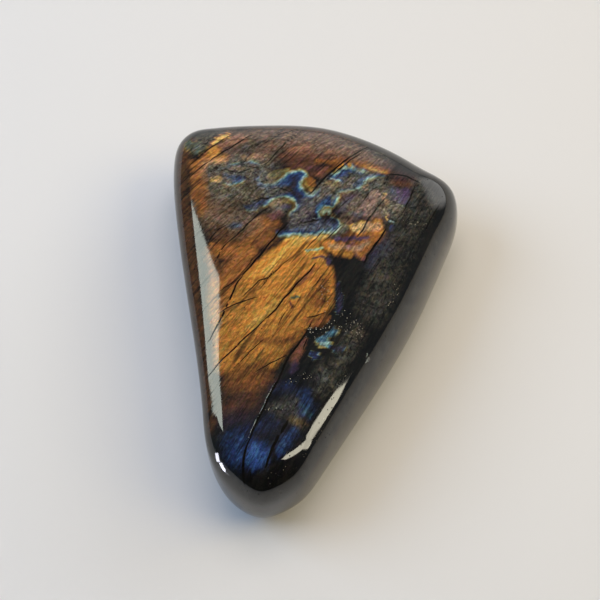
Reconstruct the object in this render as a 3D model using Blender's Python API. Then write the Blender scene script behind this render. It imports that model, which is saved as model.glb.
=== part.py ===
"""A polished labradorite freeform: one hand-sized stone, ground to a rounded wedge on a flat back.

The stone lies with its long axis along Y, its narrow tip towards -Y and its back on the plane z = 0.
It is one solid. Its skin is a lofted ring of sections: flat back, rounded lower edge, wall, rounded
upper edge and a gently domed face. The driving dimensions are the outline and the kind of edge at
each place round it.
"""

from collections import namedtuple

import bmesh
import bpy
import numpy as np

MM = 0.001  # every length below is in millimetres, and this turns it into Blender's metres

# The face is a shallow dome, highest over the middle of the stone.
THICKNESS = 26.0
DOME_TOP = (-1.0, 2.5)
DOME_RADIUS_ACROSS = 190.0
DOME_RADIUS_ALONG = 420.0

# The line down the middle of the stone that every section looks towards.
SPINE_MIDDLE = np.array([-3.5, -4.0])
SPINE_END = np.array([4.5, 22.0])

# How an edge of the stone is ground.
#   waist: height of the widest line
#   foot:  how far the flat back's edge stays inside the widest line
#   lean:  how far the wall has leaned in where it would meet the face
#   roll:  how far in over the face the upper edge starts to round over
#   drop:  how far down the wall that rounding ends
Edge = namedtuple("Edge", "waist foot lean roll drop")
LEFT_SIDE = Edge(waist=14.5, foot=7.0, lean=0.3, roll=10.0, drop=5.0)
UPPER_LEFT_CORNER = Edge(waist=13.5, foot=6.5, lean=0.8, roll=7.5, drop=6.5)
TOP_SIDE = Edge(waist=11.0, foot=7.0, lean=1.0, roll=8.5, drop=8.0)
TOP_SLOPE = Edge(waist=10.5, foot=7.0, lean=1.5, roll=11.5, drop=8.5)
UPPER_RIGHT_CORNER = Edge(waist=9.5, foot=6.5, lean=3.0, roll=8.5, drop=7.0)
RIGHT_SIDE = Edge(waist=7.5, foot=6.0, lean=4.6, roll=8.5, drop=8.5)
TIP = Edge(waist=8.5, foot=6.5, lean=2.8, roll=9.5, drop=8.5)

# How far the handles of the upper edge's curve reach towards its corner. Over half, so that the
# rounding fades in softly from the wall and out into the face.
HANDLE_REACH = 0.68

# The widest line, clockwise from low on the left side. The corners have the closest points.
OUTLINE = [
    (-23.7, -24.7, LEFT_SIDE),
    (-27.3, -0.7, LEFT_SIDE),
    (-31.0, 22.8, LEFT_SIDE),
    (-31.8, 34.6, UPPER_LEFT_CORNER),
    (-30.8, 39.6, UPPER_LEFT_CORNER),
    (-28.4, 42.1, UPPER_LEFT_CORNER),
    (-24.2, 43.2, TOP_SIDE),
    (-12.1, 43.8, TOP_SIDE),
    (1.4, 43.3, TOP_SIDE),
    (11.1, 40.8, TOP_SLOPE),
    (19.5, 36.7, TOP_SLOPE),
    (26.0, 32.7, UPPER_RIGHT_CORNER),
    (31.0, 29.0, UPPER_RIGHT_CORNER),
    (32.1, 23.2, UPPER_RIGHT_CORNER),
    (29.7, 15.7, RIGHT_SIDE),
    (22.1, -0.9, RIGHT_SIDE),
    (11.2, -19.4, RIGHT_SIDE),
    (1.5, -34.4, TIP),
    (-2.9, -40.1, TIP),
    (-7.3, -42.8, TIP),
    (-11.7, -43.8, TIP),
    (-16.0, -42.1, TIP),
    (-19.8, -38.4, TIP),
    (-22.5, -32.7, LEFT_SIDE),
]

# How finely the skin is cut into faces.
STEPS_PER_SPAN = 5
LOWER_EDGE_STEPS = 5
WALL_STEPS = 3
UPPER_EDGE_STEPS = 6

STONE_COLOUR = (0.055, 0.055, 0.05, 1.0)
STONE_ROUGHNESS = 0.12


def clear_scene():
    for old in list(bpy.data.objects):
        bpy.data.objects.remove(old)


def closed_spline(points, steps):
    """Places along a smooth closed curve through the points, with no jump in its curvature."""
    points = np.asarray(points)
    count = len(points)
    after = np.roll(points, -1, axis=0)
    span = np.linalg.norm(after - points, axis=1)
    rise = (after - points) / span[:, None]
    system = np.zeros((count, count))
    for i in range(count):
        system[i, i - 1] = span[i - 1]
        system[i, i] = 2 * (span[i - 1] + span[i])
        system[i, (i + 1) % count] = span[i]
    bend = np.linalg.solve(system, 6 * (rise - np.roll(rise, 1, axis=0)))
    places = []
    for i in range(count):
        here, there = bend[i], bend[(i + 1) % count]
        slope = rise[i] - span[i] * (2 * here + there) / 6
        for along in span[i] * np.arange(steps) / steps:
            twist = (there - here) / span[i]
            places.append(points[i] + along * (slope + along * (here / 2 + along * twist / 6)))
    return np.array(places)


def blended_edges(edges, steps):
    """The edge's measures at each step round the outline, passing smoothly from kind to kind."""
    table = np.array(edges)
    t = (np.arange(steps) / steps)[:, None]
    weights = ((1 - t) ** 3, 3 * t**3 - 6 * t**2 + 4, -3 * t**3 + 3 * t**2 + 3 * t + 1, t**3)
    count = len(table)
    rows = [
        sum(w * table[(i + shift) % count] for w, shift in zip(weights, (-1, 0, 1, 2))) / 6
        for i in range(count)
    ]
    return Edge(*np.concatenate(rows).T)


def face_height(places):
    """Height of the domed face over points of the plane."""
    across, along = (places - np.array(DOME_TOP)).T
    return THICKNESS - across**2 / (2 * DOME_RADIUS_ACROSS) - along**2 / (2 * DOME_RADIUS_ALONG)


def inward_directions(places):
    """Unit directions from the outline towards the spine."""
    half = SPINE_END - SPINE_MIDDLE
    length = np.linalg.norm(half)
    axis = half / length
    along = np.tanh((places - SPINE_MIDDLE) @ axis / length) * length
    towards = SPINE_MIDDLE + along[:, None] * axis - places
    return towards / np.linalg.norm(towards, axis=1)[:, None]


def wall_inset(edge, height, corner_height):
    """How far the wall has leaned in at this height, upright at the waist."""
    climb = (height - edge.waist) / (corner_height - edge.waist)
    return edge.lean * climb**2


def section_rings(steps_per_span):
    """Rings of points round the stone, from the edge of the flat back to where the face begins."""
    outline = closed_spline([(x, y) for x, y, _ in OUTLINE], steps_per_span)
    edge = blended_edges([kind for _, _, kind in OUTLINE], steps_per_span)
    inward = inward_directions(outline)

    def ring(inset, height):
        return np.column_stack([outline + inward * inset[:, None], height])

    rings = []
    for angle in np.linspace(0, np.pi / 2, LOWER_EDGE_STEPS, endpoint=False):
        rings.append(ring(edge.foot * (1 - np.sin(angle)), edge.waist * (1 - np.cos(angle))))
    corner_height = face_height(outline + inward * edge.lean[:, None])
    round_start = corner_height - edge.drop
    for climb in np.linspace(0, 1, WALL_STEPS, endpoint=False):
        height = edge.waist + climb * (round_start - edge.waist)
        rings.append(ring(wall_inset(edge, height, corner_height), height))
    rings += upper_edge(ring, edge, corner_height, round_start, outline, inward)
    return rings


def upper_edge(ring, edge, corner_height, round_start, outline, inward):
    """The rounding between wall and face, as a curve that leaves both of them along their own slope."""
    wall_end = wall_inset(edge, round_start, corner_height)
    face_start = edge.lean + edge.roll
    face_end = face_height(outline + inward * face_start[:, None])
    wall_slope = 2 * edge.lean * (round_start - edge.waist) / (corner_height - edge.waist) ** 2
    face_slope = (face_end - corner_height) / edge.roll
    wall_handle = HANDLE_REACH * edge.drop
    face_handle = HANDLE_REACH * edge.roll
    insets = (wall_end, wall_end + wall_handle * wall_slope, face_start - face_handle, face_start)
    heights = (round_start, round_start + wall_handle, face_end - face_handle * face_slope, face_end)
    rings = []
    for t in np.linspace(0, 1, UPPER_EDGE_STEPS + 1):
        weights = ((1 - t) ** 3, 3 * t * (1 - t) ** 2, 3 * t**2 * (1 - t), t**3)
        inset = sum(w * v for w, v in zip(weights, insets))
        height = sum(w * v for w, v in zip(weights, heights))
        rings.append(ring(inset, height))
    return rings


def square_ring_place(row, column, half):
    """A corner of the face's square grid, as its share of the way out and its share of the way round."""
    x, y = column - half, row - half
    reach = max(abs(x), abs(y))
    if reach == 0:
        return 0.0, 0.0
    if y == -reach and x < reach:
        way = x + reach
    elif x == reach and y < reach:
        way = 2 * reach + y + reach
    elif y == reach and x > -reach:
        way = 4 * reach + reach - x
    else:
        way = 6 * reach + reach - y
    return reach / half, way / (8 * reach)


def add_face(mesh, rim):
    """Fills the ring of vertices that bounds the face with a square grid that lies on the dome."""
    count = len(rim)
    half = count // 8
    edge = np.array([v.co.xy for v in rim]) / MM
    centre = edge.mean(axis=0)
    grid = {}
    for row in range(2 * half + 1):
        for column in range(2 * half + 1):
            out, way = square_ring_place(row, column, half)
            if out == 1:
                grid[row, column] = rim[round(way * count) % count]
                continue
            before = int(way * count) % count
            share = way * count - int(way * count)
            rim_place = edge[before] * (1 - share) + edge[(before + 1) % count] * share
            place = centre + out * (rim_place - centre)
            height = face_height(place[None, :])[0]
            grid[row, column] = mesh.verts.new((place[0] * MM, place[1] * MM, height * MM))
    for row in range(2 * half):
        for column in range(2 * half):
            corners = [(row, column), (row, column + 1), (row + 1, column + 1), (row + 1, column)]
            mesh.faces.new([grid[c] for c in corners])


def add_back(mesh, rim):
    """The flat back, as a fan of triangles about its middle."""
    middle = mesh.verts.new(sum((v.co for v in rim), rim[0].co * 0) / len(rim))
    for a, b in zip(rim, rim[1:] + rim[:1]):
        mesh.faces.new((middle, a, b))


def build_stone():
    mesh = bmesh.new()
    rings = [[mesh.verts.new(p * MM) for p in ring] for ring in section_rings(STEPS_PER_SPAN)]
    for lower, upper in zip(rings, rings[1:]):
        for i in range(len(lower)):
            j = (i + 1) % len(lower)
            mesh.faces.new((lower[i], lower[j], upper[j], upper[i]))
    add_back(mesh, rings[0])
    add_face(mesh, rings[-1])
    bmesh.ops.recalc_face_normals(mesh, faces=mesh.faces)
    data = bpy.data.meshes.new("stone")
    mesh.to_mesh(data)
    mesh.free()
    data.shade_smooth()
    stone = bpy.data.objects.new("stone", data)
    bpy.context.scene.collection.objects.link(stone)
    return stone


def polished_stone():
    """Dark feldspar under a hard polish."""
    material = bpy.data.materials.new("polished_labradorite")
    material.use_nodes = True
    shader = material.node_tree.nodes["Principled BSDF"]
    shader.inputs["Base Color"].default_value = STONE_COLOUR
    shader.inputs["Roughness"].default_value = STONE_ROUGHNESS
    shader.inputs["Metallic"].default_value = 0.0
    return material


clear_scene()
build_stone().data.materials.append(polished_stone())
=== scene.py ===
"""The looks of a polished labradorite freeform: its fine skin, its flash, the floor, the light, the camera.

Lengths are in millimetres in the stone's own frame, and MM turns them into Blender's metres.
"""

import math
from collections import namedtuple

import bpy
import numpy as np
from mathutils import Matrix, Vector, noise


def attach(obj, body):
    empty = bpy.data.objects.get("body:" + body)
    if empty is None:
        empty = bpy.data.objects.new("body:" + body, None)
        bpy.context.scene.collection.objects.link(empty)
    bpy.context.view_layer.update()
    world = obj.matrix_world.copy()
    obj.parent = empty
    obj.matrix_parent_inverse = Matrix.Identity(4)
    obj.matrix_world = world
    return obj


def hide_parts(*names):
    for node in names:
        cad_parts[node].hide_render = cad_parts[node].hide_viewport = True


MM = 0.001

# ---------------------------------------------------------------- the stone's form, as its solid has it

THICKNESS = 26.0
DOME_TOP = (-1.0, 2.5)
DOME_RADIUS_ACROSS = 190.0
DOME_RADIUS_ALONG = 420.0
SPINE_MIDDLE = np.array([-3.5, -4.0])
SPINE_END = np.array([4.5, 22.0])
HANDLE_REACH = 0.68

Edge = namedtuple("Edge", "waist foot lean roll drop")
LEFT_SIDE = Edge(waist=14.5, foot=7.0, lean=0.3, roll=10.0, drop=5.0)
UPPER_LEFT_CORNER = Edge(waist=13.5, foot=6.5, lean=0.8, roll=7.5, drop=6.5)
TOP_SIDE = Edge(waist=11.0, foot=7.0, lean=1.0, roll=8.5, drop=8.0)
TOP_SLOPE = Edge(waist=10.5, foot=7.0, lean=1.5, roll=11.5, drop=8.5)
UPPER_RIGHT_CORNER = Edge(waist=9.5, foot=6.5, lean=3.0, roll=8.5, drop=7.0)
RIGHT_SIDE = Edge(waist=7.5, foot=6.0, lean=4.6, roll=8.5, drop=8.5)
TIP = Edge(waist=8.5, foot=6.5, lean=2.8, roll=9.5, drop=8.5)

# The widest line, clockwise from low on the left side: each kind of edge and its points.
EDGES = (
    (LEFT_SIDE, (-23.7, -24.7), (-27.3, -0.7), (-31, 22.8)),
    (UPPER_LEFT_CORNER, (-31.8, 34.6), (-30.8, 39.6), (-28.4, 42.1)),
    (TOP_SIDE, (-24.2, 43.2), (-12.1, 43.8), (1.4, 43.3)),
    (TOP_SLOPE, (11.1, 40.8), (19.5, 36.7)),
    (UPPER_RIGHT_CORNER, (26, 32.7), (31, 29), (32.1, 23.2)),
    (RIGHT_SIDE, (29.7, 15.7), (22.1, -0.9), (11.2, -19.4)),
    (TIP, (1.5, -34.4), (-2.9, -40.1), (-7.3, -42.8), (-11.7, -43.8), (-16, -42.1), (-19.8, -38.4)),
    (LEFT_SIDE, (-22.5, -32.7)),
)
OUTLINE = [(*point, kind) for kind, *points in EDGES for point in points]

# How finely the polished skin is cut, and how much it is drawn in to stay inside the solid's box.
STEPS_PER_SPAN = 40
LOWER_EDGE_STEPS = 8
WALL_STEPS = 6
UPPER_EDGE_STEPS = 16
DRAWN_IN = 0.9992


def closed_spline(points, steps):
    """Places along a smooth closed curve through the points, with no jump in its curvature."""
    points = np.asarray(points)
    count = len(points)
    after = np.roll(points, -1, axis=0)
    span = np.linalg.norm(after - points, axis=1)
    rise = (after - points) / span[:, None]
    system = np.zeros((count, count))
    for i in range(count):
        system[i, i - 1] = span[i - 1]
        system[i, i] = 2 * (span[i - 1] + span[i])
        system[i, (i + 1) % count] = span[i]
    bend = np.linalg.solve(system, 6 * (rise - np.roll(rise, 1, axis=0)))
    places = []
    for i in range(count):
        here, there = bend[i], bend[(i + 1) % count]
        slope = rise[i] - span[i] * (2 * here + there) / 6
        for along in span[i] * np.arange(steps) / steps:
            twist = (there - here) / span[i]
            places.append(points[i] + along * (slope + along * (here / 2 + along * twist / 6)))
    return np.array(places)


def blended_edges(edges, steps):
    """The edge's measures at each step round the outline, passing smoothly from kind to kind."""
    table = np.array(edges)
    t = (np.arange(steps) / steps)[:, None]
    weights = ((1 - t) ** 3, 3 * t**3 - 6 * t**2 + 4, -3 * t**3 + 3 * t**2 + 3 * t + 1, t**3)
    count = len(table)
    rows = [
        sum(w * table[(i + shift) % count] for w, shift in zip(weights, (-1, 0, 1, 2))) / 6
        for i in range(count)
    ]
    return Edge(*np.concatenate(rows).T)


def face_height(places):
    """Height of the domed face over points of the plane."""
    across, along = (places - np.array(DOME_TOP)).T
    return THICKNESS - across**2 / (2 * DOME_RADIUS_ACROSS) - along**2 / (2 * DOME_RADIUS_ALONG)


def inward_directions(places):
    """Unit directions from the outline towards the spine."""
    half = SPINE_END - SPINE_MIDDLE
    length = np.linalg.norm(half)
    axis = half / length
    along = np.tanh((places - SPINE_MIDDLE) @ axis / length) * length
    towards = SPINE_MIDDLE + along[:, None] * axis - places
    return towards / np.linalg.norm(towards, axis=1)[:, None]


def wall_inset(edge, height, corner_height):
    """How far the wall has leaned in at this height, upright at the waist."""
    climb = (height - edge.waist) / (corner_height - edge.waist)
    return edge.lean * climb**2


def section_rings():
    """Rings of points round the stone, from the edge of the flat back to where the face begins."""
    outline = closed_spline([(x, y) for x, y, _ in OUTLINE], STEPS_PER_SPAN)
    edge = blended_edges([kind for _, _, kind in OUTLINE], STEPS_PER_SPAN)
    inward = inward_directions(outline)

    def ring(inset, height):
        return np.column_stack([outline + inward * inset[:, None], height])

    rings = []
    for angle in np.linspace(0, np.pi / 2, LOWER_EDGE_STEPS, endpoint=False):
        rings.append(ring(edge.foot * (1 - np.sin(angle)), edge.waist * (1 - np.cos(angle))))
    corner_height = face_height(outline + inward * edge.lean[:, None])
    round_start = corner_height - edge.drop
    for climb in np.linspace(0, 1, WALL_STEPS, endpoint=False):
        height = edge.waist + climb * (round_start - edge.waist)
        rings.append(ring(wall_inset(edge, height, corner_height), height))
    rings += upper_edge(ring, edge, corner_height, round_start, outline, inward)
    return rings


def upper_edge(ring, edge, corner_height, round_start, outline, inward):
    """The rounding between wall and face, as a curve that leaves both of them along their own slope."""
    wall_end = wall_inset(edge, round_start, corner_height)
    face_start = edge.lean + edge.roll
    face_end = face_height(outline + inward * face_start[:, None])
    wall_slope = 2 * edge.lean * (round_start - edge.waist) / (corner_height - edge.waist) ** 2
    face_slope = (face_end - corner_height) / edge.roll
    wall_handle = HANDLE_REACH * edge.drop
    face_handle = HANDLE_REACH * edge.roll
    insets = (wall_end, wall_end + wall_handle * wall_slope, face_start - face_handle, face_start)
    heights = (round_start, round_start + wall_handle, face_end - face_handle * face_slope, face_end)
    rings = []
    for t in np.linspace(0, 1, UPPER_EDGE_STEPS + 1):
        weights = ((1 - t) ** 3, 3 * t * (1 - t) ** 2, 3 * t**2 * (1 - t), t**3)
        inset = sum(w * v for w, v in zip(weights, insets))
        height = sum(w * v for w, v in zip(weights, heights))
        rings.append(ring(inset, height))
    return rings


def square_ring_place(row, column, half):
    """A corner of the face's square grid, as its share of the way out and its share of the way round."""
    x, y = column - half, row - half
    reach = max(abs(x), abs(y))
    if reach == 0:
        return 0.0, 0.0
    if y == -reach and x < reach:
        way = x + reach
    elif x == reach and y < reach:
        way = 2 * reach + y + reach
    elif y == reach and x > -reach:
        way = 4 * reach + reach - x
    else:
        way = 6 * reach + reach - y
    return reach / half, way / (8 * reach)


def face_grid(rim, first):
    """The face as a square grid inside its rim: new points, and the grid of point numbers."""
    count = len(rim)
    half = count // 8
    side = 2 * half + 1
    edge = rim[:, :2]
    centre = edge.mean(axis=0)
    numbers = np.zeros((side, side), dtype=int)
    places = []
    for row in range(side):
        for column in range(side):
            out, way = square_ring_place(row, column, half)
            if out == 1:
                numbers[row, column] = first - count + round(way * count) % count
                continue
            before = int(way * count) % count
            share = way * count - int(way * count)
            rim_place = edge[before] * (1 - share) + edge[(before + 1) % count] * share
            numbers[row, column] = first + len(places)
            places.append(centre + out * (rim_place - centre))
    places = np.array(places)
    return np.column_stack([places, face_height(places)]), numbers


def stone_mesh():
    """The whole skin of the stone, in metres."""
    rings = section_rings()
    count = len(rings[0])
    points = np.concatenate(rings)
    face_points, numbers = face_grid(rings[-1], len(points))
    middle = rings[0].mean(axis=0)
    points = np.concatenate([points, face_points, middle[None, :]])

    here = np.arange(count)
    there = (here + 1) % count
    faces = []
    for level in range(len(rings) - 1):
        low, high = level * count, (level + 1) * count
        faces += np.column_stack([low + here, high + here, high + there, low + there]).tolist()
    corners = (numbers[:-1, :-1], numbers[1:, :-1], numbers[1:, 1:], numbers[:-1, 1:])
    faces += np.stack(corners, axis=-1).reshape(-1, 4).tolist()
    faces += [(len(points) - 1, here[i], there[i]) for i in range(count)]
    return points, faces


# ---------------------------------------------------------------- the flash, painted on the face

# Where a colour stands in the order that the flash runs through.
PLUM, INDIGO, DEEP_BLUE, BLUE, AZURE, CYAN = 0.01, 0.06, 0.11, 0.16, 0.23, 0.30
GREEN, LIME, YELLOW, GOLD, ORANGE, COPPER, ROSE, VIOLET = 0.37, 0.44, 0.51, 0.59, 0.67, 0.75, 0.83, 0.91
COOL_LIMIT = 0.34  # hues below this are painted in the cool layer, and the others in the warm one


def rows_of(kind, *rows):
    """Rows whose last values are the points of a path, each as one of the kind."""
    count = len(kind._fields) - 1
    return [kind(*row[:count], row[count:]) for row in rows]


# A mark of the flash: its hue, how strongly it glows, how soft its edge is, and the path that it
# follows as (x, y, radius). Later marks lie over earlier ones. Seen from above, in millimetres.
Mark = namedtuple("Mark", "name hue glow soft path")
Layer = namedtuple("Layer", "hue glow")
MARKS = rows_of(
    Mark,
    # the broad fields
    ("left wall", ORANGE, 0.22, 2.4, (-30, 36, 2), (-29.4, 24, 1.8), (-26, -2, 1.8), (-22.4, -28, 1.6)),
    ("dim flash", COPPER, 0.04, 9, (-6, 30, 16), (-8, 10, 12)),
    ("dim blue foot", INDIGO, 0.05, 5, (-6, -24, 6), (-10, -32, 6)),
    ("copper band", COPPER, 0.34, 4.5, (-18, 36.5, 3.2), (-8, 37, 3.4), (2, 36, 3.4), (9, 33.2, 2.6)),
    ("copper middle", COPPER, 0.42, 3, (-12, 33, 1.5), (0, 32.6, 1.6), (7, 32.4, 1.6), (15, 31, 1)),
    ("mauve right end", ROSE, 0.18, 3, (14, 31, 1.2), (20, 27, 1.6)),
    ("brown field", ORANGE, 0.24, 5, (-22, 20, 3.5), (-19, 14, 3.5), (-13, 14, 3.5)),
    ("olive field", YELLOW, 0.06, 4, (-20, 25, 4), (-14, 24, 3)),
    ("orange left strip", ORANGE, 0.85, 1.4, (-25.6, 31, 1.5), (-25.7, 28, 1.5), (-25.4, 24, 1.5)),
    ("orange left foot", ORANGE, 0.62, 1.4, (-25.2, 24, 1.4), (-24.9, 21, 1.2), (-24.6, 18.6, 0.8)),
    ("gold-brown field", ORANGE, 0.62, 2.8, (-12.5, 15.6, 1.6), (-9.8, 16, 1.6), (-13.8, 12, 1.4),
     (-10.5, 12.6, 1.4)),
    ("copper left zone", ORANGE, 0.72, 3, (-20.4, 10, 1.4), (-15.5, 9, 2.4), (-17, 5.5, 2.8),
     (-19, 1, 1.6)),
    ("copper left glow", ORANGE, 1, 2.4, (-21, 9.6, 0.6), (-17.6, 9.6, 0.8), (-14, 9.4, 0.9)),
    ("copper left low", ORANGE, 0.9, 2, (-18.2, 3.8, 0.9), (-19.2, 0.5, 0.9), (-19.6, -2.5, 0.8)),
    ("gold field left", GOLD, 0.72, 2.4, (-14, 3.4, 1.8), (-16.2, -1, 2.6), (-18, -8, 2.8),
     (-18, -15, 2.8)),
    ("gold field top", GOLD, 1.2, 1.6, (-1.2, 10.6, 1.9), (-6, 9.6, 2), (-9.4, 6.8, 2.4),
     (-12.6, 3.4, 2.2)),
    ("copper under the light", ORANGE, 0.8, 1.6, (-23, 10, 0.7), (-21.6, 4, 0.9)),
    ("gold under the light", GOLD, 0.8, 2.4, (-21.4, 2, 1), (-21.2, -3, 1.1), (-20.8, -9, 0.9),
     (-20.4, -14, 0.3)),
    ("gold field middle", GOLD, 1, 1.6, (-0.4, 7, 2.6), (-4, 4, 4.4), (-7, -1, 5), (-11, -8, 5.4)),
    ("gold field low", GOLD, 0.72, 6, (-11, -8, 4.4), (-13, -12, 3.6), (-14.5, -13.5, 3)),
    ("gold field right", GOLD, 0.75, 1.2, (1.6, 5, 2), (1.8, 1, 2.2), (0.8, -3, 2.5), (-3.5, -6, 2.6)),
    ("gold field corner", GOLD, 0.64, 2, (-4.4, -7, 2.4), (-7, -11.4, 2), (-9.2, -15.4, 1.3)),
    ("gold field foot", ORANGE, 0.6, 0.9, (-0.8, -6.6, 1.3), (0.6, -7, 0.9), (2, -5.8, 0.6)),
    ("brown foot", ORANGE, 0.66, 6.5, (-17.4, -19.6, 1), (-14, -19.4, 1.8), (-11.6, -19, 1.2)),
    ("dark brown foot", COPPER, 0.3, 6, (-17.6, -24.6, 1.6), (-15, -24.2, 1.6), (-13, -23.8, 1)),
    ("purple foot", PLUM, 0.2, 5, (-17.8, -27.8, 1), (-15.6, -27.4, 1), (-14, -27, 0.6)),
    ("brightest gold", GOLD, 0.86, 4, (-12.5, -6, 1.6), (-10, -3.5, 1.8), (-7.5, -2, 1.4)),
    ("yellow strokes", YELLOW, 0.9, 1.6, (-14, -8, 0.3), (-11.4, -5.4, 0.5), (-8.4, -2.4, 0.4)),
    ("bright gold top", YELLOW, 1.1, 2.2, (-3, 11.6, 0.3), (-6, 10, 0.5), (-8.4, 7.6, 0.5),
     (-10.6, 4.6, 0.5)),
    ("rose in gold", COPPER, 0.75, 1.4, (-0.6, 5.2, 0.3), (-2, 3.4, 0.5), (-3.6, 1.4, 0.4)),
    ("brown in gold", ORANGE, 0.45, 2.2, (1.6, 2.6, 0.6), (1.4, 0, 0.9), (0.4, -2.6, 1)),
    ("brown step", ORANGE, 0.42, 2, (-12.5, -10.8, 0.4), (-8, -11.2, 0.6), (-4.6, -10.6, 0.5)),
    ("orange dab", ORANGE, 0.8, 1, (-22.3, 11.2, 0.7), (-21.2, 10.4, 0.6)),
    ("brown over the bay", COPPER, 0.4, 2.4, (-5, 30.4, 0.8), (-1, 29.8, 1.2), (1.4, 28, 0.6)),
    ("mauve over the bay", ROSE, 0.35, 1.6, (-1.4, 29.4, 0.6), (1, 29.6, 0.6)),
    ("rose by the double vein", COPPER, 0.8, 1.2, (-0.8, 27.9, 0.3), (0.8, 28.2, 0.4), (2.4, 29.6, 0.2)),
    ("rose-brown right", ROSE, 0.32, 4, (9, 20, 1.6), (13, 18, 1.6), (7, 22, 1.2)),
    ("brown right", COPPER, 0.3, 3, (11, 18.4, 1), (14, 20.4, 1), (6.4, 16.6, 0.8)),
    ("orange field right", ORANGE, 0.64, 2.4, (6, 11.4, 0.8), (9.5, 13, 2), (12.6, 13.6, 1.8),
     (10, 9, 0.6)),
    ("yellow field top", YELLOW, 1.2, 1, (-6.6, 11.8, 0.3), (-3, 12.3, 0.7), (0, 12.4, 0.6),
     (2.4, 12.6, 0.4)),
    # the top left corner
    ("teal corner", GREEN, 0.2, 1.8, (-27.5, 36.8, 1.8), (-25.8, 35.2, 1)),
    ("pink corner", ROSE, 0.25, 0.8, (-27, 38.2, 0.6)),
    ("gold corner", GOLD, 1.15, 1.8, (-22.3, 34.4, 1.4), (-23, 32.6, 1.2), (-20.3, 32.3, 0.9)),
    ("orange corner", ORANGE, 1.15, 1.8, (-26.8, 31.6, 0.9), (-24.5, 31.5, 1.2), (-24.6, 33.2, 0.7)),
    ("yellow streak", YELLOW, 0.95, 0.6, (-22.4, 36.7, 0.6), (-21.2, 37.6, 0.7), (-19.6, 38.5, 0.5)),
    ("copper by streak", COPPER, 0.75, 1, (-20.3, 35.8, 0.7), (-18, 37, 1), (-16, 37.6, 1)),
    ("dark patch one", COPPER, 0.06, 1.4, (-16, 34.6, 1.1), (-13.6, 35.6, 1.2), (-12, 36.3, 0.5)),
    ("dark patch two", COPPER, 0.08, 1, (-9.3, 32.6, 0.8), (-7.8, 34, 0.7)),
    ("orange under patch", ORANGE, 0.6, 0.8, (-15.7, 32.3, 0.4), (-13.6, 32.5, 0.6), (-12.3, 32.4, 0.4)),
    ("rose patch one", COPPER, 0.85, 1.2, (-6, 33.9, 0.5), (-3.5, 34.3, 0.8), (-1.5, 34.8, 0.7)),
    ("rose patch two", COPPER, 0.8, 1.2, (2.8, 33.6, 0.7), (4.4, 33.8, 0.6)),
    ("orange by vein", ORANGE, 0.7, 1, (0.5, 31.2, 0.4), (3, 31, 0.6), (5.5, 31.4, 0.8)),
    # the arch and the veins at the left
    ("olive slip", YELLOW, 0.3, 0.6, (-18, 29.6, 0.3), (-15.2, 29.6, 0.4)),
    ("curly line", INDIGO, 0, 0.4, (-20.4, 30.2, 0.2), (-19, 29.2, 0.3), (-17.6, 28.6, 0.3),
     (-15.4, 28.8, 0.2)),
    ("yellow-olive patch", YELLOW, 0.6, 0.7, (-22.7, 27.2, 0.6), (-20.6, 27.2, 0.6)),
    ("blue-grey patch", BLUE, 0.3, 0.9, (-19.4, 28, 0.4), (-17.6, 27.2, 0.7), (-15.6, 27.4, 0.4)),
    ("violet haze", PLUM, 0.2, 1, (-13.2, 28.2, 0.5), (-12.5, 27.3, 0.5)),
    ("dark spot one", INDIGO, 0, 0.6, (-19.5, 23.2, 0.4), (-18.4, 22.8, 0.3)),
    ("islet", LIME, 0.26, 0.9, (-9.8, 27.4, 0.6), (-7.6, 28.4, 0.5), (-6, 29.2, 0.4)),
    ("gold eye bed", YELLOW, 0.42, 1, (-2, 26.2, 0.6), (-1.6, 24.6, 0.5), (-0.8, 23.8, 0.3)),
    ("gold eye", ORANGE, 0.85, 1, (-1.4, 26.8, 0.4), (-0.8, 26, 0.5), (-0.8, 25, 0.4)),
    ("ribbon blue", BLUE, 0.3, 0.7, (-15.3, 20.2, 0.4), (-13.4, 20.4, 0.4), (-11.2, 21.4, 0.3)),
    ("dark fold", INDIGO, 0, 0.5, (-15.8, 21.5, 0.2), (-13.5, 21.2, 0.25), (-11.6, 21.5, 0.2)),
    ("rose bank", ROSE, 0.55, 1.2, (-9.6, 17.4, 0.7), (-8, 18.4, 0.9)),
    ("violet bank", PLUM, 0.55, 0.8, (-7, 19.6, 0.5), (-6, 20, 0.4)),
    ("blue-grey slip", BLUE, 0.22, 1.2, (-18.2, 15.8, 0.6), (-16, 15.6, 0.5)),
    # the dark pool in the middle, with its blue bays
    ("pool", PLUM, 0.22, 1.6, (-5.6, 14.6, 0.8), (-2.6, 17, 1.6), (-1, 20.4, 2), (0.6, 22.4, 1.4)),
    ("pool top", YELLOW, 0.04, 1.4, (0.6, 22.4, 1.4), (3.4, 24.6, 1.2), (6.6, 26, 0.9)),
    ("pool right", DEEP_BLUE, 0.26, 1.6, (1, 15.6, 1.6), (3.4, 15.4, 1.2)),
    ("upper bay", BLUE, 0.62, 1.2, (-8.2, 25, 0.3), (-6, 26, 0.7), (-4, 27.2, 1), (-3.4, 27.2, 0.9)),
    ("upper bay middle", DEEP_BLUE, 0.5, 1.2, (-4.6, 26.6, 0.3), (-4.4, 24.6, 0.7), (-3.6, 22.6, 0.8),
     (-2.8, 20.8, 0.5)),
    ("upper bay violet", PLUM, 0.4, 0.9, (-4.6, 26.8, 0.2), (-5, 25.4, 0.3), (-4, 23.6, 0.3),
     (-2.6, 21.2, 0.3)),
    ("lower bay", BLUE, 0.36, 1.4, (-6.4, 14, 0.4), (-3, 14.4, 0.7), (0, 14.8, 1.2), (3, 14.8, 0.9)),
    ("lower bay light", AZURE, 0.9, 0.9, (2.8, 14.5, 0.2), (3.9, 14.8, 0.45), (4.6, 15, 0.3)),
    ("right bay", BLUE, 0.5, 1.4, (0.2, 19, 0.3), (1.2, 20.4, 0.5), (2.6, 21.6, 0.8), (3.4, 22.2, 0.5)),
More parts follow.
